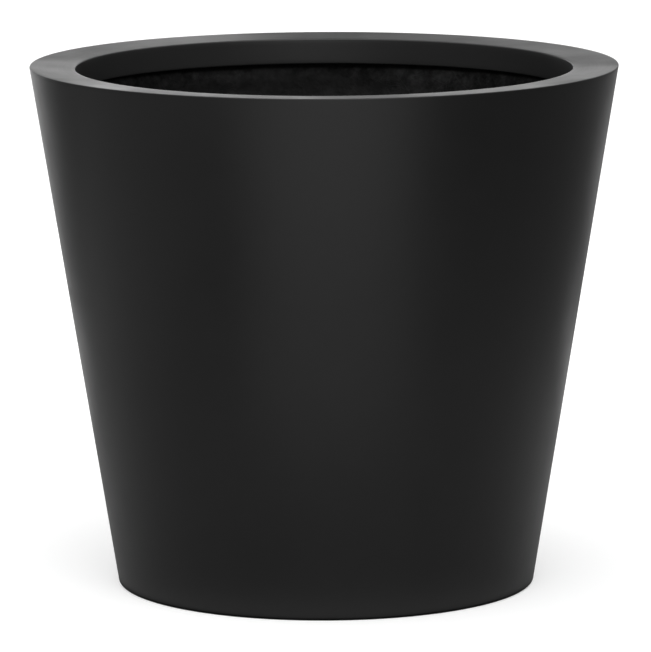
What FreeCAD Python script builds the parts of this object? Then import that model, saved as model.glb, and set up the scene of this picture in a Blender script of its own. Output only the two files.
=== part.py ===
"""Round tapered floor planter, hand-laid in stone-filled resin over glass fibre.

The pot is a smooth outer shell with a rough glass-fibre laminate bonded inside it. A rim collar with a
flat top and a return lip sits on the wall's top edge, and a rubber plug closes the drain hole.
Millimetres. The Z axis is the pot's own axis, and Z = 0 is the floor that the pot stands on.
"""
import FreeCAD
import Part
import math
import os

# Pot
pot_height = 445.0  # floor to the outer edge of the rim
rim_diameter = 500.0  # across the rim's outer edge
base_diameter = 356.0  # where the wall's line meets the floor
foot_radius = 3.0  # eased corner between wall and underside
base_recess = 4.0  # underside lifted off the floor inside the standing ring
standing_ring_width = 24.0
ring_edge_radius = 1.5

# Outer shell, the stone-filled facing
shell_wall = 3.0
shell_floor = 4.0
shell_cove_radius = 24.0  # inside corner between wall and floor

# Inner laminate, the glass-fibre backing
bond_line = 0.3  # resin between two bonded walls
laminate_wall = 5.0
laminate_floor = 6.0
laminate_cove_radius = 20.0

# Rim collar
rim_width = 38.8  # outer edge to the face of the return lip
rim_fall = 2.2  # how far the top falls towards the inside
rim_thickness = 6.0
lip_height = 22.0  # face of the return lip
lip_thickness = 5.0
skirt_height = 16.0  # flange bonded inside the wall
skirt_thickness = 4.0
rim_outer_edge_radius = 0.8
rim_inner_edge_radius = 1.0
lip_edge_radius = 1.0
collar_corner_radius = 3.0  # inside corners of the moulded channel

# Drain hole and its plug
drain_hole_diameter = 26.0
drain_edge_radius = 0.8
plug_clearance = 0.2  # between the sealing ribs and the hole
plug_head_lap = 7.0  # how far the head reaches past the edge of the hole
plug_head_height = 4.0
plug_head_edge_radius = 1.2
plug_head_crown = 1.0  # how far the head rises to its middle
plug_rib_depth = 1.3
plug_rib_width = 2.4
plug_rib_crest_radius = 0.6
plug_rib_gap = 0.9  # least plain stem between two ribs
plug_ground_clearance = 1.5  # between the plug's tip and the ground
plug_tip_taper = 1.6
plug_tip_radius = 1.2
plug_wall = 3.4  # rubber round the hollow in the tip, which lets the stem give
plug_core_roof = 3.0  # rubber between that hollow and the head's seat
plug_core_corner_radius = 1.2

# Heights and slopes that the pieces share
rim_radius = rim_diameter / 2
base_radius = base_diameter / 2
drain_radius = drain_hole_diameter / 2
wall_lean = math.atan2(rim_radius - base_radius, pot_height)
shell_floor_top = base_recess + shell_floor
laminate_floor_top = shell_floor_top + laminate_floor
collar_seat = pot_height - rim_thickness

# Outlines
rounding_share = 0.48  # most of a straight that one rounded corner may use up
least_straight = 1e-6  # a shorter straight is left out
full_turn = 360.0
mm3_per_cm3 = 1000.0


def wall_radius(z, depth=0.0):
    """Radius at height z of the wall's surface that lies this deep under the outer face."""
    outer = base_radius + z * math.tan(wall_lean)
    return outer - depth / math.cos(wall_lean)


def rounded_wire(corners):
    """Closed outline in the XZ plane. Each corner is (radius from the axis, height, rounding)."""
    points = [FreeCAD.Vector(r, 0, z) for r, z, _ in corners]
    count = len(points)
    stretches = []
    for i, (_, _, rounding) in enumerate(corners):
        corner = points[i]
        back = points[i - 1] - corner
        ahead = points[(i + 1) % count] - corner
        if not rounding:
            stretches.append((corner, None, corner))
            continue
        half_angle = back.getAngle(ahead) / 2
        room = rounding_share * min(back.Length, ahead.Length)
        setback = min(rounding / math.tan(half_angle), room)
        radius = setback * math.tan(half_angle)
        start = corner + back.normalize() * setback
        end = corner + ahead.normalize() * setback
        inward = (back + ahead).normalize()
        middle = corner + inward * (radius / math.sin(half_angle) - radius)
        stretches.append((start, middle, end))
    edges = []
    for i, (start, middle, end) in enumerate(stretches):
        if middle:
            edges.append(Part.Arc(start, middle, end).toShape())
        following = stretches[(i + 1) % count][0]
        if end.distanceToPoint(following) > least_straight:
            edges.append(Part.LineSegment(end, following).toShape())
    return Part.Wire(edges)


def turned(corners):
    """Solid of revolution about the pot's axis."""
    face = Part.Face(rounded_wire(corners))
    return face.revolve(FreeCAD.Vector(0, 0, 0), FreeCAD.Vector(0, 0, 1), full_turn)


def outer_shell():
    """Facing: tapered wall with an open top, a floor with the drain hole, and a standing ring under it."""
    ring_inside = base_radius - standing_ring_width
    return turned([
        (drain_radius, base_recess, drain_edge_radius),
        (ring_inside, base_recess, ring_edge_radius),
        (ring_inside, 0, ring_edge_radius),
        (base_radius, 0, foot_radius),
        (wall_radius(collar_seat), collar_seat, 0),
        (wall_radius(collar_seat, shell_wall), collar_seat, 0),
        (wall_radius(shell_floor_top, shell_wall), shell_floor_top, shell_cove_radius),
        (drain_radius, shell_floor_top, 0),
    ])


def inner_laminate():
    """Backing: a cup bonded inside the shell, up to the collar's seat, with a cove round its floor."""
    outside = shell_wall + bond_line
    inside = outside + laminate_wall
    return turned([
        (drain_radius, shell_floor_top, 0),
        (wall_radius(shell_floor_top, outside), shell_floor_top, shell_cove_radius),
        (wall_radius(collar_seat, outside), collar_seat, 0),
        (wall_radius(collar_seat, inside), collar_seat, 0),
        (wall_radius(laminate_floor_top, inside), laminate_floor_top, laminate_cove_radius),
        (drain_radius, laminate_floor_top, drain_edge_radius),
    ])


def rim_collar():
    """Channel ring: the top seats on the wall, the skirt laps inside it, and the return lip faces inwards."""
    skirt_outside = shell_wall + bond_line + laminate_wall + bond_line
    skirt_inside = skirt_outside + skirt_thickness
    skirt_bottom = collar_seat - skirt_height
    lip_face = rim_radius - rim_width
    lip_back = lip_face + lip_thickness
    rim_inner_top = pot_height - rim_fall
    lip_bottom = rim_inner_top - lip_height
    underside = rim_inner_top - rim_thickness
    return turned([
        (rim_radius, pot_height, rim_outer_edge_radius),
        (lip_face, rim_inner_top, rim_inner_edge_radius),
        (lip_face, lip_bottom, lip_edge_radius),
        (lip_back, lip_bottom, lip_edge_radius),
        (lip_back, underside, collar_corner_radius),
        (wall_radius(collar_seat, skirt_inside), collar_seat, collar_corner_radius),
        (wall_radius(skirt_bottom, skirt_inside), skirt_bottom, lip_edge_radius),
        (wall_radius(skirt_bottom, skirt_outside), skirt_bottom, 0),
        (wall_radius(collar_seat, skirt_outside), collar_seat, 0),
        (wall_radius(collar_seat), collar_seat, 0),
    ])


def drain_plug():
    """Rubber stopper: a crowned head on the floor and a ribbed, hollow stem through the drain hole."""
    seat = laminate_floor_top
    head_radius = drain_radius + plug_head_lap
    rib_radius = drain_radius - plug_clearance
    stem_radius = rib_radius - plug_rib_depth
    tip_radius = stem_radius - plug_tip_taper
    core_radius = tip_radius - plug_wall
    core_top = seat - plug_core_roof
    head_side = seat + plug_head_height - plug_head_crown
    corners = [
        (0, seat + plug_head_height, 0),
        (head_radius, head_side, plug_head_edge_radius),
        (head_radius, seat, plug_head_edge_radius),
        (stem_radius, seat, 0),
    ]
    hole_length = seat - base_recess
    rib_count = max(1, int(hole_length / (plug_rib_width + plug_rib_gap)) - 1)
    rib_pitch = hole_length / (rib_count + 1)
    for rib in range(rib_count):
        middle = seat - rib_pitch * (rib + 1)
        corners += [
            (stem_radius, middle + plug_rib_width / 2, 0),
            (rib_radius, middle, plug_rib_crest_radius),
            (stem_radius, middle - plug_rib_width / 2, 0),
        ]
    corners += [
        (stem_radius, base_recess, 0),
        (tip_radius, plug_ground_clearance, plug_tip_radius),
        (core_radius, plug_ground_clearance, 0),
        (core_radius, core_top, plug_core_corner_radius),
        (0, core_top, 0),
    ]
    return turned(corners)


def main():
    pieces = {
        "outer_shell": outer_shell(),
        "inner_laminate": inner_laminate(),
        "rim_collar": rim_collar(),
        "drain_plug": drain_plug(),
    }
    os.makedirs("parts", exist_ok=True)
    for name, piece in pieces.items():
        piece.exportStep(f"parts/{name}.step")
        volume = piece.Volume / mm3_per_cm3
        print(f"{name}: {len(piece.Solids)} solid, valid {piece.isValid()}, {volume:.1f} cm3")


main()
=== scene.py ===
import bpy
import math
from mathutils import Matrix, Vector


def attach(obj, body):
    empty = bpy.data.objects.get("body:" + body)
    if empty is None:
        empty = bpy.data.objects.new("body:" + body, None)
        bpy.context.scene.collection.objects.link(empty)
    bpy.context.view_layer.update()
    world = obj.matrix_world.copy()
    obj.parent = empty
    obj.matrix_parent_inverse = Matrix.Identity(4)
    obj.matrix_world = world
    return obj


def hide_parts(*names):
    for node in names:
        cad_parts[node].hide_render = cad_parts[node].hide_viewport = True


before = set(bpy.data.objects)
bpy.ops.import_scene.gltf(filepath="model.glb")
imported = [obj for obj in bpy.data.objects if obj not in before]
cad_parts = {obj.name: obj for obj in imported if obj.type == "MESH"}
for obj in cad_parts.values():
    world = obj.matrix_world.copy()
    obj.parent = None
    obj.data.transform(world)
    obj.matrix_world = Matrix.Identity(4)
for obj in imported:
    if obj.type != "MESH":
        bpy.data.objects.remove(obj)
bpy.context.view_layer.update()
print("frame loaded:", ", ".join(sorted(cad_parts)))

pot = {  # metres, as the frame has them
    "height": 0.445, "rimRadius": 0.25, "baseRadius": 0.178, "footRounding": 0.003,
    "ringWidth": 0.024, "ringRounding": 0.0015, "recess": 0.004,
    "facing": 0.003, "facingFloor": 0.004, "facingCove": 0.024, "bond": 0.0003,
    "laminate": 0.005, "laminateFloor": 0.006, "laminateCove": 0.02,
    "rimWidth": 0.0388, "rimFall": 0.0022, "rimThickness": 0.006,
    "lipHeight": 0.022, "lipThickness": 0.005, "skirtHeight": 0.016, "skirtThickness": 0.004,
    "drainRadius": 0.013, "drainRounding": 0.0008, "skinInset": 0.00005}
lean = math.atan2(pot["rimRadius"] - pot["baseRadius"], pot["height"])
seat = pot["height"] - pot["rimThickness"]
facingFloorTop = pot["recess"] + pot["facingFloor"]
laminateFloorTop = facingFloorTop + pot["laminateFloor"]
lipFace = pot["rimRadius"] - pot["rimWidth"]
lipBack = lipFace + pot["lipThickness"]
rimInnerTop = pot["height"] - pot["rimFall"]
lipBottom = rimInnerTop - pot["lipHeight"]


def wallRadius(z, depth=0.0):  # radius of the wall's surface this deep under its outer face
    return pot["baseRadius"] + z * math.tan(lean) - (depth + pot["skinInset"]) / math.cos(lean)


# Nodes

seeds = {  # one for each random pattern
    "clouds": 1.0, "patches": 2.0, "grain": 3.0, "strokes": 4.0, "waves": 5.0, "lumps": 6.0,
    "blotches": 11.0, "smears": 12.0, "threads": 13.0, "bloom": 21.0, "rubberGrain": 22.0,
    "wander": 31.0, "drift": 41.0}
seedStep = (1.0, 0.7, 0.4)  # how far a seed of 1 moves its pattern


def pick(sockets, key):
    if isinstance(key, int):
        return sockets[key]
    return next(s for s in sockets if s.name == key and s.enabled)


class Wire:  # one node socket; sums on it add Math nodes
    def __init__(self, tree, socket=None):
        self.tree = tree
        self.socket = socket

    def node(self, kind, settings=None, sockets=None, output=0):
        made = self.tree.nodes.new(kind)
        for key, value in (settings or {}).items():
            setattr(made, key, value)
        for key, value in (sockets or {}).items():
            target = pick(made.inputs, key)
            if isinstance(value, Wire):
                self.tree.links.new(value.socket, target)
            else:
                target.default_value = value
        return Wire(self.tree, pick(made.outputs, output) if made.outputs else None)

    def also(self, output):  # another output of the same node
        return Wire(self.tree, pick(self.socket.node.outputs, output))

    def math(self, operation, *values):
        return self.node("ShaderNodeMath", {"operation": operation}, dict(enumerate(values)))

    def __add__(self, other):
        return self.math("ADD", self, other)

    __radd__ = __add__

    def __mul__(self, other):
        return self.math("MULTIPLY", self, other)

    __rmul__ = __mul__

    def __sub__(self, other):
        return self.math("SUBTRACT", self, other)

    def __rsub__(self, other):
        return self.math("SUBTRACT", other, self)

    def __truediv__(self, other):
        return self.math("DIVIDE", self, other)

    def __rtruediv__(self, other):
        return self.math("DIVIDE", other, self)

    def __pow__(self, other):
        return self.math("POWER", self, other)

    def between(self, low, high):  # 0 at low, 1 at high, soft in between
        return self.node("ShaderNodeMapRange", {"interpolation_type": "SMOOTHSTEP"},
                         {"Value": self, "From Min": low, "From Max": high})

    def swing(self):  # a noise about its own middle
        return self - 0.5

    def vector(self, operation, *values, output="Vector"):
        return self.node("ShaderNodeVectorMath", {"operation": operation},
                         dict(enumerate(values)), output)

    def times(self, factor):  # a vector made longer or shorter
        return self.node("ShaderNodeVectorMath", {"operation": "SCALE"},
                         {"Vector": self, "Scale": factor})

    def parts(self):
        split = self.node("ShaderNodeSeparateXYZ", {}, {"Vector": self})
        return [split.also(axis) for axis in "XYZ"]

    def joined(self, x, y, z):
        return self.node("ShaderNodeCombineXYZ", {}, {"X": x, "Y": y, "Z": z})

    def noise(self, place, size, detail=1.0, roughness=0.5, seed=0.0, output="Fac"):
        moved = self.vector("ADD", place, tuple(seed * step for step in seedStep))
        return self.node("ShaderNodeTexNoise", {},
                         {"Vector": moved, "Scale": 1 / size, "Detail": detail, "Roughness": roughness},
                         output)

    def attribute(self, name):
        return self.node("GeometryNodeInputNamedAttribute", {}, {"Name": name})


def newTree(name, inputs):
    tree = bpy.data.node_groups.new(name, "GeometryNodeTree")
    tree.interface.new_socket("Mesh", in_out="OUTPUT", socket_type="NodeSocketGeometry")
    for label, kind in inputs.items():
        tree.interface.new_socket(label, in_out="INPUT", socket_type="NodeSocket" + kind)
    start = tree.nodes.new("NodeGroupInput")
    return tree, {s.name: Wire(tree, s) for s in start.outputs if s.name}


def endTree(mesh, finish):
    whole = mesh.node("GeometryNodeRealizeInstances", {}, {"Geometry": mesh})
    coated = mesh.node("GeometryNodeSetMaterial", {}, {"Geometry": whole, "Material": finish})
    coated.node("NodeGroupOutput", {}, {0: coated})


def plainMesh(name, base, tree, values):  # runs the tree on base and keeps the result as a plain mesh
    modifier = base.modifiers.new(name, "NODES")
    modifier.node_group = tree
    for item in tree.interface.items_tree:
        if item.in_out == "INPUT" and item.name in values:
            modifier[item.identifier] = values[item.name]
    graph = bpy.context.evaluated_depsgraph_get()
    mesh = bpy.data.meshes.new_from_object(base.evaluated_get(graph), preserve_all_data_layers=True,
                                           depsgraph=graph)
    base.modifiers.remove(modifier)
    piece = bpy.data.objects.new(name, mesh)
    bpy.context.scene.collection.objects.link(piece)
    mesh.calc_loop_triangles()
    print(f"{name}: {len(mesh.loop_triangles)} triangles")
    return piece


# Finishes

def newFinish(name, specular):
    material = bpy.data.materials.new(name)
    material.use_nodes = True
    shader = material.node_tree.nodes["Principled BSDF"]
    shader.inputs["Specular IOR Level"].default_value = specular
    return material, Wire(material.node_tree), shader


def feed(use, shader, shade, roughness, height):  # height in metres
    bump = use.node("ShaderNodeBump", {}, {"Height": height, "Distance": 1.0, "Strength": 1.0})
    colour = use.joined(shade, shade, shade)
    for socket, wire in (("Base Color", colour), ("Roughness", roughness), ("Normal", bump)):
        use.tree.links.new(wire.socket, shader.inputs[socket])


stone = {
    "tone": 0.005, "mottle": 0.3, "roughness": 0.36, "specular": 0.3, "lipPaleAndPaintedLight": 2.5,
    "cloudSize": 0.11, "cloudShare": 1.6, "hazeLimits": (0.35, 0.65), "wallHaze": 0.02, "rimHaze": 0.06,
    "patchSize": 0.024, "patchShare": 0.8, "patchHaze": 0.05, "patchDepth": 0.00002,
    "grainSize": 0.0011, "grainShare": 0.8, "grainDepth": 0.000002,
    "strokePitch": 0.0012, "strokeBreaks": 2, "strokeHaze": 0.06, "lipSanding": 0.8,
    "lipEdge": (0.0002, 0.0012), "rimEdge": 0.0008, "edgeBlur": 0.001}


def satinStone():
    material, use, shader = newFinish("satinStone", stone["specular"])
    place = use.node("ShaderNodeTexCoord", {}, {}, "Object")
    x, y, z = place.parts()
    radius = (x * x + y * y) ** 0.5
    clouds = use.noise(place, stone["cloudSize"], detail=3.0, roughness=0.55, seed=seeds["clouds"])
    patches = use.noise(place, stone["patchSize"], detail=2.0, roughness=0.6, seed=seeds["patches"])
    grain = use.noise(place, stone["grainSize"], detail=1.0, roughness=0.6, seed=seeds["grain"])
    # sanding strokes run round the rim and the lip
    breaks = stone["strokeBreaks"]
    across = (z + radius) / stone["strokePitch"]
    stroke = use.noise(use.joined(x / radius * breaks, y / radius * breaks, across), 1.0,
                       detail=2.0, roughness=0.6, seed=seeds["strokes"])
    lipNear, lipFar = stone["lipEdge"]
    blur = stone["edgeBlur"]
    lip = 1 - radius.between(lipFace + lipNear, lipFace + lipFar)
    lip = lip * z.between(lipBottom - blur, lipBottom + blur)
    top = z.between(rimInnerTop - blur, rimInnerTop)
    top = top * (1 - radius.between(pot["rimRadius"] - stone["rimEdge"], pot["rimRadius"]))
    sanded = lip * stone["lipSanding"] + top * (1 - lip)
    tone = clouds.swing() * stone["cloudShare"] + patches.swing() * stone["patchShare"]
    tone = tone + grain.swing() * stone["grainShare"] + stroke.swing() * sanded
    # the lip face is paler: partly its sanded finish, partly painted light standing in for the low front
    # light on it
    shade = stone["tone"] * (1 + tone * stone["mottle"] + lip * stone["lipPaleAndPaintedLight"])
    haze = clouds.between(*stone["hazeLimits"]).swing() * (stone["wallHaze"] + top * stone["rimHaze"])
    roughness = stone["roughness"] + haze + patches.swing() * stone["patchHaze"]
    roughness = roughness + stroke.swing() * sanded * stone["strokeHaze"]
    height = grain * stone["grainDepth"] + patches * stone["patchDepth"]
    feed(use, shader, shade, roughness, height)
    return material


resin = {
    "tone": 0.0155, "strandTone": 0.0188, "roughness": 0.7, "roughSwing": 0.4, "specular": 0.12,
    "blotchSize": 0.014, "blotchLimits": (0.35, 0.7),
    "smearSize": 0.007, "smearLimits": (0.4, 0.7), "smearShare": 0.8, "smearDepth": 0.0014,
    "threadSize": 0.0035, "threadLimits": (0.4, 0.75), "threadShare": 0.3, "threadDepth": 0.0005,
    "mottleLeast": 0.35, "mottleGain": 0.65,
    "driftSize": 0.2, "driftLimits": (0.35, 0.6), "driftLeast": 0.7, "driftGain": 0.8,
    "paintedLightTone": 4.0, "paintedLightLow": 0.04, "paintedLightHigh": 0.021,  # depths under the wall's top
    "lipShadowTone": 0.15, "lipShadowLow": 0.0083, "lipShadowHigh": 0.0053}  # depths under the lip


def fibreResin(name, tone):
    material, use, shader = newFinish(name, resin["specular"])
    place = use.node("ShaderNodeTexCoord", {}, {}, "Object")
    height = place.parts()[2]
    blotch = use.noise(place, resin["blotchSize"], detail=2.0, roughness=0.6, seed=seeds["blotches"])
    smear = use.noise(place, resin["smearSize"], detail=2.0, roughness=0.6, seed=seeds["smears"])
    thread = use.noise(place, resin["threadSize"], detail=1.0, roughness=0.6, seed=seeds["threads"])
    drift = use.noise(place, resin["driftSize"], detail=0.0, roughness=0.5, seed=seeds["drift"])
    mottle = blotch.between(*resin["blotchLimits"])
    mottle = mottle + smear.between(*resin["smearLimits"]) * resin["smearShare"]
    mottle = mottle + thread.between(*resin["threadLimits"]) * resin["threadShare"]
    shade = tone * (resin["mottleLeast"] + mottle * resin["mottleGain"])
    # large paler patches: partly random tone, partly painted light, with the seed putting a paler patch on
    # the right of the inside where light from the left falls
    shade = shade * (resin["driftLeast"] + drift.between(*resin["driftLimits"]) * resin["driftGain"])
    # painted light: the inside is paler towards its top edge under the lip, where the studio light reaches
    # too little
    paintedLight = height.between(seat - resin["paintedLightLow"], seat - resin["paintedLightHigh"]) * resin["paintedLightTone"]
    # painted shadow: a dark band on the inside just under the lip, where the lip's own shadow falls
    run = height.between(lipBottom - resin["lipShadowLow"], lipBottom - resin["lipShadowHigh"])
    shade = shade * (1 + paintedLight) * (1 - run * (1 - resin["lipShadowTone"]))
    roughness = resin["roughness"] + (blotch.swing() + smear.swing()) * resin["roughSwing"]
    feed(use, shader, shade, roughness, smear * resin["smearDepth"] + thread * resin["threadDepth"])
    return material


rubber = {
    "tone": 0.014, "roughness": 0.62, "roughSwing": 0.25, "specular": 0.35, "least": 0.75,
    "bloomSize": 0.012, "bloomShare": 0.5, "grainSize": 0.0006, "grainShare": 0.15, "grainDepth": 0.00002}


def plugRubber():
    material, use, shader = newFinish("plugRubber", rubber["specular"])
    place = use.node("ShaderNodeTexCoord", {}, {}, "Object")
    bloom = use.noise(place, rubber["bloomSize"], detail=3.0, roughness=0.6, seed=seeds["bloom"])
    grain = use.noise(place, rubber["grainSize"], detail=1.0, roughness=0.6, seed=seeds["rubberGrain"])
    shade = bloom * rubber["bloomShare"] + grain * rubber["grainShare"]
    shade = rubber["tone"] * (rubber["least"] + shade)
    roughness = rubber["roughness"] + bloom.swing() * rubber["roughSwing"]
    feed(use, shader, shade, roughness, grain * rubber["grainDepth"])
    return material


satinBlack = satinStone()
laminateBlack = fibreResin("laminateBlack", resin["tone"])
strandBlack = fibreResin("strandBlack", resin["strandTone"])
rubberBlack = plugRubber()
print("finishes made")


# Turned pieces: a profile of corners, rounded and spun about the pot's axis

mergeDistance = 1e-6


def turnedTree():
    tree, given = newTree("turnedPiece", {
        "Profile": "Geometry", "Segments": "Int", "Corner steps": "Int", "Wave depth": "Float",
        "Wave size": "Float", "Relief depth": "Float", "Relief size": "Float", "Sharp angle": "Float",
        "Finish": "Material"})
    use = given["Profile"]
    line = use.node("GeometryNodeMeshToCurve", {}, {"Mesh": given["Profile"]})
    line = use.node("GeometryNodeFilletCurve", {"mode": "POLY"},
                    {"Curve": line, "Count": given["Corner steps"], "Radius": use.attribute("corner"),
                     "Limit Radius": True})
    here = use.node("GeometryNodeInputPosition")
    following = use.node("GeometryNodeOffsetPointInCurve", {}, {"Offset": 1}, "Point Index")
    there = use.node("GeometryNodeFieldAtIndex", {"data_type": "FLOAT_VECTOR"},
                     {"Value": here, "Index": following})
    run = use.vector("DISTANCE", here, there, output="Value")
    cuts = use.math("FLOOR", run / use.attribute("step"))
    line = use.node("GeometryNodeSubdivideCurve", {}, {"Curve": line, "Cuts": cuts})
    x, y, z = here.parts()
    line = use.node("GeometryNodeSetPosition", {},
                    {"Geometry": line, "Position": use.joined(x - 1, 0 - z, 0.0)})
    ring = use.node("GeometryNodeCurvePrimitiveCircle", {},
                    {"Resolution": given["Segments"], "Radius": 1.0})
    body = use.node("GeometryNodeCurveToMesh", {}, {"Curve": ring, "Profile Curve": line})
    body = use.node("GeometryNodeFlipFaces", {}, {"Mesh": body})
    body = use.node("GeometryNodeMergeByDistance", {}, {"Geometry": body, "Distance": mergeDistance})
    # hand-laid waviness moves the wall in towards the axis, so that the box never grows
    wave = use.noise(here, given["Wave size"], detail=1.0, roughness=0.4, seed=seeds["waves"])
    wave = wave * given["Wave depth"]
    outward = use.vector("NORMALIZE", use.joined(x, y, 0.0))
    body = use.node("GeometryNodeSetPosition", {}, {"Geometry": body, "Offset": outward.times(0 - wave)})
    # relief sinks the rough faces into their own thickness
    lumps = use.noise(here, given["Relief size"], detail=4.0, roughness=0.62, seed=seeds["lumps"])
    sink = lumps * use.attribute("rough") * given["Relief depth"]
    normal = use.node("GeometryNodeInputNormal")
    body = use.node("GeometryNodeSetPosition", {}, {"Geometry": body, "Offset": normal.times(0 - sink)})
    bend = use.node("GeometryNodeInputMeshEdgeAngle", {}, {}, "Unsigned Angle")
    crisp = use.node("FunctionNodeCompare", {"operation": "GREATER_THAN"},
                     {"A": bend, "B": given["Sharp angle"]})
    body = use.node("GeometryNodeSetShadeSmooth", {"domain": "EDGE"},
                    {"Geometry": body, "Selection": crisp, "Shade Smooth": False})
    endTree(body, given["Finish"])
    return tree


turnedPiece = turnedTree()


# each corner: radius, height, rounding, distance between rings, roughness
def turned(name, corners, values, closed=True):
    mesh = bpy.data.meshes.new(name + "Profile")
    count = len(corners)
    edges = [(i, (i + 1) % count) for i in range(count if closed else count - 1)]
    mesh.from_pydata([(c[0], 0, c[1]) for c in corners], edges, [])
    for place, label in enumerate(("corner", "step", "rough"), start=2):
        layer = mesh.attributes.new(label, "FLOAT", "POINT")
        layer.data.foreach_set("value", [c[place] for c in corners])
    base = bpy.data.objects.new(name + "Profile", mesh)
    bpy.context.scene.collection.objects.link(base)
    piece = plainMesh(name, base, turnedPiece, values)
    bpy.data.objects.remove(base)
    return piece


skin = {"Segments": 512, "Corner steps": 6, "Wave depth": 0.0003, "Wave size": 0.12, "Relief depth": 0.0,
        "Relief size": 0.01, "Sharp angle": math.radians(40), "Finish": satinBlack}
rings = {"wall": 0.008, "rim": 0.004, "drain": 0.02, "hidden": 0.06}  # distance between rings

ringInside = pot["baseRadius"] - pot["ringWidth"]
facing = turned("facing", [
    (pot["drainRadius"], pot["recess"], pot["drainRounding"], rings["drain"], 0),
    (ringInside, pot["recess"], pot["ringRounding"], rings["hidden"], 0),
    (ringInside, 0, pot["ringRounding"], rings["hidden"], 0),
    (wallRadius(0), 0, pot["footRounding"], rings["wall"], 0),
    (wallRadius(seat), seat, 0, rings["hidden"], 0),
    (wallRadius(seat, pot["facing"]), seat, 0, rings["hidden"], 0),
    (wallRadius(facingFloorTop, pot["facing"]), facingFloorTop, pot["facingCove"], rings["hidden"], 0),
    (pot["drainRadius"], facingFloorTop, 0, rings["hidden"], 0),
], skin)

laminateOut = pot["facing"] + pot["bond"]
laminateIn = laminateOut + pot["laminate"]
lay = {"step": 0.003, "seatRadius": 0.027, "roughRadius": 0.034}
laminateSkin = {**skin, "Segments": 440, "Wave depth": 0.0, "Relief depth": 0.0022, "Relief size": 0.022,
                "Finish": laminateBlack}
laminate = turned("laminate", [
    (pot["drainRadius"], facingFloorTop, 0, rings["hidden"], 0),
    (wallRadius(facingFloorTop, laminateOut), facingFloorTop, pot["facingCove"], rings["hidden"], 0),
    (wallRadius(seat, laminateOut), seat, 0, rings["hidden"], 0),
    (wallRadius(seat, laminateIn), seat, 0, lay["step"], 1),
    (wallRadius(laminateFloorTop, laminateIn), laminateFloorTop, pot["laminateCove"], lay["step"], 1),
    (lay["roughRadius"], laminateFloorTop, 0, lay["step"], 1),
    (lay["seatRadius"], laminateFloorTop, 0, lay["step"], 0),
    (pot["drainRadius"], laminateFloorTop, pot["drainRounding"], rings["hidden"], 0),
], laminateSkin)

skirtOut = laminateIn + pot["bond"]
skirtIn = skirtOut + pot["skirtThickness"]
skirtBottom = seat - pot["skirtHeight"]
underside = rimInnerTop - pot["rimThickness"]
collarEdges = {"outer": 0.0008, "inner": 0.001, "lip": 0.001, "channel": 0.003}
collar = turned("collar", [
    (wallRadius(pot["height"]), pot["height"], collarEdges["outer"], rings["rim"], 0),
    (lipFace, rimInnerTop, collarEdges["inner"], rings["rim"], 0),
    (lipFace, lipBottom, collarEdges["lip"], rings["rim"], 0),
    (lipBack, lipBottom, collarEdges["lip"], rings["hidden"], 0),
    (lipBack, underside, collarEdges["channel"], rings["hidden"], 0),
    (wallRadius(seat, skirtIn), seat, collarEdges["channel"], rings["hidden"], 0),
    (wallRadius(skirtBottom, skirtIn), skirtBottom, collarEdges["lip"], rings["hidden"], 0),
    (wallRadius(skirtBottom, skirtOut), skirtBottom, 0, rings["hidden"], 0),
    (wallRadius(seat, skirtOut), seat, 0, rings["hidden"], 0),
    (wallRadius(seat), seat, 0, rings["rim"], 0),
], skin)


# Chopped glass strands that show through the laminate

strandForm = {
    "laidFrom": 0.95,  # least roughness of the wall under a strand
    "endSink": 0.4, "rise": 0.8, "riseBy": 0.6,  # how its ends lie in the wall, in thicknesses
    "tipWidth": 0.35, "fullBy": 0.5}  # how it thins towards its ends


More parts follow.
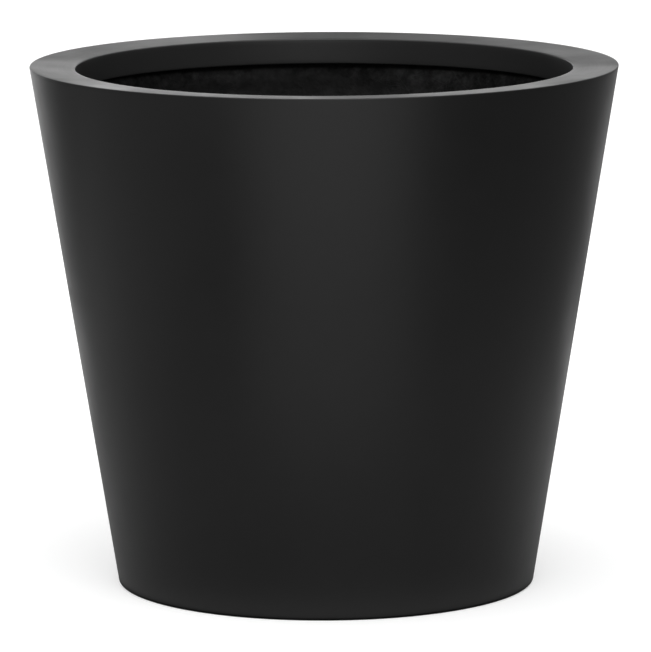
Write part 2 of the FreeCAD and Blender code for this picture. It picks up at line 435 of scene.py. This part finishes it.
def strandTree():
    tree, given = newTree("choppedStrands", {
        "Wall": "Geometry", "Strands per area": "Float", "Shortest": "Float", "Longest": "Float",
        "Width": "Float", "Thickness": "Float", "Sides": "Int", "Steps": "Int", "Wander": "Float",
        "Wander size": "Float", "Seed": "Int", "Finish": "Material"})
    use = given["Wall"]
    laid = use.node("FunctionNodeCompare", {"operation": "GREATER_THAN"},
                    {"A": use.attribute("rough"), "B": strandForm["laidFrom"]})
    spots = use.node("GeometryNodeDistributePointsOnFaces", {},
                     {"Mesh": given["Wall"], "Selection": laid, "Density": given["Strands per area"],
                      "Seed": given["Seed"]}, "Points")
    angle = use.node("FunctionNodeRandomValue", {},
                     {"Min": 0.0, "Max": math.tau, "Seed": given["Seed"] + 1}, "Value")
    spin = use.node("FunctionNodeAxisAngleToRotation", {}, {"Axis": (0, 0, 1), "Angle": angle})
    turn = use.node("FunctionNodeRotateRotation", {"rotation_space": "LOCAL"},
                    {"Rotation": spots.also("Rotation"), "Rotate By": spin})
    length = use.node("FunctionNodeRandomValue", {},
                      {"Min": given["Shortest"], "Max": given["Longest"], "Seed": given["Seed"] + 2},
                      "Value")
    straight = use.node("GeometryNodeCurvePrimitiveLine", {},
                        {"Start": (-0.5, 0, 0), "End": (0.5, 0, 0)})
    straight = use.node("GeometryNodeResampleCurve", {},
                        {"Curve": straight, "Count": given["Steps"]})
    threads = use.node("GeometryNodeInstanceOnPoints", {},
                       {"Points": spots, "Instance": straight, "Rotation": turn,
                        "Scale": use.joined(length, length, length)})
    threads = use.node("GeometryNodeRealizeInstances", {}, {"Geometry": threads})
    here = use.node("GeometryNodeInputPosition")
    drift = use.noise(here, given["Wander size"], detail=1.0, seed=seeds["wander"], output="Color")
    drift = use.vector("SUBTRACT", drift, (0.5, 0.5, 0.5)).times(given["Wander"])
    threads = use.node("GeometryNodeSetPosition", {}, {"Geometry": threads, "Offset": drift})
    nearest = {"data_type": "FLOAT_VECTOR"}
    onWall = use.node("GeometryNodeSampleNearestSurface", nearest,
                      {"Mesh": given["Wall"], "Value": here, "Sample Position": here})
    upward = use.node("GeometryNodeSampleNearestSurface", nearest,
                      {"Mesh": given["Wall"], "Value": use.node("GeometryNodeInputNormal"),
                       "Sample Position": here})
    along = use.node("GeometryNodeSplineParameter", {}, {}, "Factor")
    middle = along * (1 - along) * 4  # 0 at both ends
    threads = use.node("GeometryNodeSetCurveNormal", {"mode": "FREE"},
                       {"Curve": threads, "Normal": upward})
    lift = middle.between(0.0, strandForm["riseBy"]) * strandForm["rise"] - strandForm["endSink"]
    lift = given["Thickness"] * lift
    threads = use.node("GeometryNodeSetPosition", {},
                       {"Geometry": threads, "Position": use.vector("ADD", onWall, upward.times(lift))})
    section = use.node("GeometryNodeCurvePrimitiveCircle", {},
                       {"Resolution": given["Sides"], "Radius": 0.5})
    section = use.node("GeometryNodeTransform", {},
                       {"Geometry": section, "Scale": use.joined(given["Thickness"], given["Width"], 1.0)})
    tip = strandForm["tipWidth"]
    taper = tip + (1 - tip) * middle.between(0.0, strandForm["fullBy"])
    body = use.node("GeometryNodeCurveToMesh", {},
                    {"Curve": threads, "Profile Curve": section, "Scale": taper, "Fill Caps": True})
    body = use.node("GeometryNodeSetShadeSmooth", {}, {"Geometry": body, "Shade Smooth": False})
    endTree(body, given["Finish"])
    return tree


strandSizes = {"Strands per area": 10000.0, "Shortest": 0.016, "Longest": 0.045, "Width": 0.0013,
               "Thickness": 0.00035, "Sides": 3, "Steps": 5, "Wander": 0.02, "Wander size": 0.06, "Seed": 8,
               "Finish": strandBlack}
strands = plainMesh("strands", laminate, strandTree(), strandSizes)


# Drain plug

plugSize = {
    "headLap": 0.007, "headHeight": 0.004, "headRounding": 0.0012, "crown": 0.001, "clearance": 0.0002,
    "ribs": 2, "ribDepth": 0.0013, "ribWidth": 0.0024, "ribRounding": 0.0006, "stemRounding": 0.0003,
    "groundClearance": 0.0015, "tipTaper": 0.0016, "tipRounding": 0.0012, "tipEdge": 0.0004,
    "wall": 0.0034, "roof": 0.003, "step": 0.002,
    "grooveRadius": 0.0145, "grooveWidth": 0.0012, "grooveDepth": 0.0006, "grooveRounding": 0.0002,
    "dimpleRadius": 0.0025, "dimpleFloor": 0.6, "dimpleDepth": 0.0005, "dimpleRounding": 0.0006}
plugSkin = {**skin, "Segments": 128, "Corner steps": 4, "Wave depth": 0.0, "Finish": rubberBlack}


def plugCorners():
    size = plugSize
    top = laminateFloorTop + size["headHeight"]
    headRadius = pot["drainRadius"] + size["headLap"]
    ribRadius = pot["drainRadius"] - size["clearance"]
    stem = ribRadius - size["ribDepth"]
    tip = stem - size["tipTaper"]
    core = tip - size["wall"]
    coreTop = laminateFloorTop - size["roof"]
    corners = [
        (0, coreTop, 0),
        (core, coreTop, size["tipRounding"]),
        (core, size["groundClearance"], size["tipEdge"]),
        (tip, size["groundClearance"], size["tipRounding"]),
        (stem, pot["recess"], size["tipEdge"])]
    pitch = (laminateFloorTop - pot["recess"]) / (size["ribs"] + 1)
    for rib in range(size["ribs"]):
        middle = pot["recess"] + pitch * (rib + 1)
        corners += [
            (stem, middle - size["ribWidth"] / 2, size["stemRounding"]),
            (ribRadius, middle, size["ribRounding"]),
            (stem, middle + size["ribWidth"] / 2, size["stemRounding"])]
    corners += [
        (stem, laminateFloorTop, size["stemRounding"]),
        (headRadius, laminateFloorTop, size["headRounding"]),
        (headRadius, top - size["crown"], size["headRounding"])]
    slope = size["crown"] / headRadius
    for away, sunk in ((0.5, 0), (0.25, 1), (-0.25, 1), (-0.5, 0)):  # moulded groove round the head
        r = size["grooveRadius"] + away * size["grooveWidth"]
        corners.append((r, top - slope * r - sunk * size["grooveDepth"], size["grooveRounding"]))
    r = size["dimpleRadius"]
    dimple = top - size["dimpleDepth"]
    corners += [
        (r, top - slope * r, size["dimpleRounding"]),
        (r * size["dimpleFloor"], dimple, size["dimpleRounding"]),
        (0, dimple, 0)]
    return [(r, z, rounding, size["step"], 0) for r, z, rounding in corners]


plug = turned("plug", plugCorners(), plugSkin, closed=False)

for piece, node, slot, body in ((facing, "outer_shell", "black_facing", "pot"),
                                (laminate, "inner_laminate", "fibre_backing", "pot"),
                                (strands, "inner_laminate", "fibre_backing", "pot"),
                                (collar, "rim_collar", "black_rim", "pot"),
                                (plug, "drain_plug", "plug_rubber", "plug")):
    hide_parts(node)
    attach(piece, body)
print("pieces placed")


# Stage

stage = {
    "floorSide": 60.0, "floorSeen": 0.65, "floorGlow": 0.38,  # as the camera sees the floor
    "floorFootPaintedLight": 0.75, "floorNear": 0.36, "floorFar": 0.14,  # as the pot mirrors it
    "paintedShadowWidth": 0.006, "footRadius": 0.24, "footLimits": (0.2, 1.0), "nearRadius": 0.5, "farRadius": 1.0,
    "cameraDistance": 4.98, "cameraElevation": 9.12, "aimSide": 0.0003, "aimHeight": 0.2196, "roll": -0.23,
    "lens": 321.84, "sensor": 36.0, "viewDepth": 200.0}
fill = 0.22  # even glow of the whole studio
glows = {  # soft glows of its walls and ceiling: compass bearing and height in degrees, tightness, strength
    "overhead": (0, 90, 3, 1.32), "frontHigh": (172, 55, 8, 2.28), "front": (172, 25, 8, 1.0),
    "frontLow": (171, 10, 12, 1.0), "leftHigh": (270, 45, 8, 0.71)}
panels = {  # soft boxes and bounce sheets: centre, the way it faces, width, depth, brightness
    "backLeft": ((-0.87, 2.0, 0.65), (0.35, -1, 0), 1.66, 0.5, 1.24),
    "backMiddle": ((0.15, 2.1, 0.58), (0, -1, 0), 0.85, 0.36, 1.24),
    "backRight": ((0.85, 2.0, 0.65), (-0.35, -1, 0), 1.5, 0.5, 0.36),
    "backLow": ((-0.8, 2.0, 0.2), (0.35, -1, 0), 1.8, 0.35, 0.68),
    "sheetFront": ((0.05, -2.3, 0.01), (0, 0, 1), 1.5, 2.8, 1.06),
    "sheetNear": ((0.05, -0.72, 0.01), (0, 0, 1), 0.8, 0.5, 0.31),
    "sheetLeft": ((-1.9, -1.0, 0.01), (0, 0, 1), 2.4, 3.0, 0.28),
    "sheetBackLeft": ((-0.85, 1.0, 0.01), (0, 0, 1), 0.9, 1.2, 0.06),
    "sheetBack": ((-0.1, 2.4, 0.01), (0, 0, 1), 2.6, 2.2, 0.44),
    "edgeLeft": ((-0.5, 0.96, 0.01), (0, 0, 1), 0.4, 0.8, 0.58),
    "edgeRight": ((0.5, 0.78, 0.01), (0, 0, 1), 0.5, 0.44, 0.5)}


def makeFloor():
    half = stage["floorSide"] / 2
    mesh = bpy.data.meshes.new("floor")
    corners = [(-half, -half, 0), (half, -half, 0), (half, half, 0), (-half, half, 0)]
    mesh.from_pydata(corners, [], [(0, 1, 2, 3)])
    floor = bpy.data.objects.new("floor", mesh)
    bpy.context.scene.collection.objects.link(floor)
    material, use, shader = newFinish("paleFloor", 0.0)
    shader.inputs["Roughness"].default_value = 1.0
    place = use.node("ShaderNodeTexCoord", {}, {}, "Object")
    away = use.vector("LENGTH", place, output="Value")
    # painted light and shade on the floor, seen only in the pot's reflections: a painted pool of light in
    # front of the foot, a painted contact shadow where the pot stands, dimmer far off
    front = (0 - place.parts()[1] / away).between(*stage["footLimits"])
    paintedFootLight = (1 - away.between(pot["baseRadius"], stage["footRadius"])) * front
    clear = away.between(pot["baseRadius"], pot["baseRadius"] + stage["paintedShadowWidth"])
    far = away.between(stage["nearRadius"], stage["farRadius"])
    lit = stage["floorNear"] + far * (stage["floorFar"] - stage["floorNear"])
    lit = (lit + paintedFootLight * (stage["floorFootPaintedLight"] - stage["floorNear"])) * clear
    seen = use.node("ShaderNodeLightPath", {}, {}, "Is Camera Ray")
    tone = lit + seen * (stage["floorSeen"] - lit)
    glow = seen * stage["floorGlow"]
    use.tree.links.new(use.joined(tone, tone, tone).socket, shader.inputs["Base Color"])
    use.tree.links.new(use.joined(glow, glow, glow).socket, shader.inputs["Emission Color"])
    shader.inputs["Emission Strength"].default_value = 1.0
    mesh.materials.append(material)


def makeWorld():
    world = bpy.data.worlds.new("studio")
    world.use_nodes = True
    bpy.context.scene.world = world
    world.node_tree.nodes.clear()
    use = Wire(world.node_tree)
    look = use.node("ShaderNodeTexCoord", {}, {}, "Generated")
    glow = fill
    for bearing, rise, tightness, strength in glows.values():
        bearing, rise = math.radians(bearing), math.radians(rise)
        middle = (math.sin(bearing) * math.cos(rise), math.cos(bearing) * math.cos(rise), math.sin(rise))
        near = use.vector("DOT_PRODUCT", look, middle, output="Value")
        glow = use.math("MAXIMUM", near, 0.0) ** tightness * strength + glow
    white = {"Color": (1, 1, 1, 1)}
    lit = use.node("ShaderNodeBackground", {}, {**white, "Strength": glow})
    seen = use.node("ShaderNodeBackground", {}, {**white, "Strength": 1.0})
    camera = use.node("ShaderNodeLightPath", {}, {}, "Is Camera Ray")
    mixed = use.node("ShaderNodeMixShader", {}, {0: camera, 1: lit, 2: seen})
    use.node("ShaderNodeOutputWorld", {}, {"Surface": mixed})


def makePanels():
    for name, (centre, faces, width, depth, brightness) in panels.items():
        light = bpy.data.lights.new(name, "AREA")
        light.shape = "RECTANGLE"
        light.size = width
        light.size_y = depth
        light.energy = brightness * math.pi * width * depth
        box = bpy.data.objects.new(name, light)
        bpy.context.scene.collection.objects.link(box)
        turn = Vector(faces).to_track_quat("-Z", "Y").to_matrix().to_4x4()
        box.matrix_world = Matrix.Translation(centre) @ turn
        box.visible_camera = False


def makeCamera():
    camera = bpy.data.cameras.new("photoCamera")
    camera.sensor_width = stage["sensor"]
    camera.lens = stage["lens"]
    camera.clip_end = stage["viewDepth"]
    rig = bpy.data.objects.new("photoCamera", camera)
    bpy.context.scene.collection.objects.link(rig)
    rise = math.radians(stage["cameraElevation"])
    aim = Vector((stage["aimSide"], 0, stage["aimHeight"]))
    back = Vector((0, -math.cos(rise), math.sin(rise)))
    turn = (-back).to_track_quat("-Z", "Y").to_matrix().to_4x4()
    turn = turn @ Matrix.Rotation(math.radians(stage["roll"]), 4, "Z")
    rig.matrix_world = Matrix.Translation(aim + back * stage["cameraDistance"]) @ turn
    bpy.context.scene.camera = rig


makeFloor()
makeWorld()
makePanels()
makeCamera()
bpy.context.scene.view_settings.view_transform = "Standard"
print("stage set")
